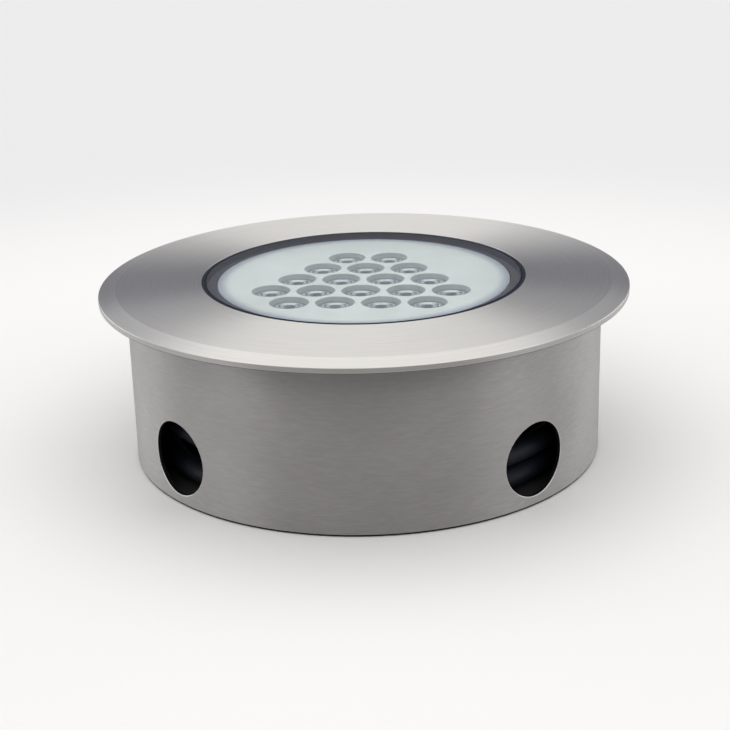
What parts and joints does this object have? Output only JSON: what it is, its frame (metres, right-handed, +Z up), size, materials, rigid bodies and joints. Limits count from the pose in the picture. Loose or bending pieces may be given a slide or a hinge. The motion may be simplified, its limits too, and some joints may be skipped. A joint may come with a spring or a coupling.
{
  "type": "recessed pool light",
  "caption": "Round recessed pool light: turned stainless face ring with flush glass and lens cups on a lamp can, held by leaf springs in a brushed mounting sleeve with cable holes.",
  "frame": {"origin": "centre of the sleeve's foot, on the surface that the light stands on", "axes": "+Z up along the sleeve's axis to the face ring; the four cable holes lie on +X, +Y, -X and -Y; the lens rows step back towards -X+Y"},
  "size_m": [0.18, 0.18, 0.0603],
  "materials": {
    "sleeve_steel": "circumferentially brushed stainless",
    "face_steel": "turned and brushed stainless",
    "base_black": "black moulded",
    "window_glass": "clear, polished",
    "black_seal": "black moulded",
    "white_plate": "white moulded, slightly cool",
    "lens_clear": "clear moulded lens",
    "emitter": "domed emitter",
    "led_board": "metal-core board, white mask",
    "spreader_metal": "machined",
    "can_steel": "satin stainless",
    "spring_steel": "rolled strip",
    "screw_steel": "stainless screw",
    "driver_board": "circuit board, green mask",
    "component_dark": "moulded component",
    "capacitor_can": "drawn can",
    "wire_insulation": "insulated wire",
    "gland_metal": "nickel plated",
    "cable_jacket": "black jacket, semi-matte",
    "core_insulation": "coloured cores",
    "core_copper": "tinned strands",
    "tie_nylon": "black nylon"
  },
  "bodies": {
    "sleeve": {"sleeve": "sleeve_steel", "base_plate": "base_black"},
    "lamp": {"cable_coil": "cable_jacket", "cable_cores": "core_insulation", "cable_entry": "cable_jacket", "cable_ties": "tie_nylon", "can_seal": "black_seal", "clamp_screws": "screw_steel", "core_tips": "core_copper", "driver_board": "driver_board", "driver_capacitors": "capacitor_can", "driver_chips": "component_dark", "driver_inductor": "component_dark", "driver_screws": "screw_steel", "driver_standoffs": "gland_metal", "face_ring": "face_steel", "gland_elbow": "gland_metal", "gland_locknut": "gland_metal", "gland_nut": "gland_metal", "gland_seal": "black_seal", "gland_washer": "black_seal", "glass": "window_glass", "glass_seal": "black_seal", "heat_spreader": "spreader_metal", "lamp_can": "can_steel", "led_board": "led_board", "led_board_screws": "screw_steel", "led_emitters": "emitter", "led_wires": "wire_insulation", "lens_01": "lens_clear", "lens_02": "lens_clear", "lens_03": "lens_clear", "lens_04": "lens_clear", "lens_05": "lens_clear", "lens_06": "lens_clear", "lens_07": "lens_clear", "lens_08": "lens_clear", "lens_09": "lens_clear", "lens_10": "lens_clear", "lens_11": "lens_clear", "lens_12": "lens_clear", "lens_13": "lens_clear", "lens_14": "lens_clear", "lens_15": "lens_clear", "lens_16": "lens_clear", "lens_17": "lens_clear", "lens_18": "lens_clear", "lens_plate": "white_plate", "spreader_screws": "screw_steel", "spring_1": "spring_steel", "spring_2": "spring_steel", "spring_3": "spring_steel", "spring_screws": "screw_steel", "supply_wires": "wire_insulation"}
  },
  "joints": [
    {"name": "lamp_lift", "type": "slide", "parent": "sleeve", "child": "lamp", "axis": [0, 0, 1], "range_m": [0, 0.065]}
  ]
}
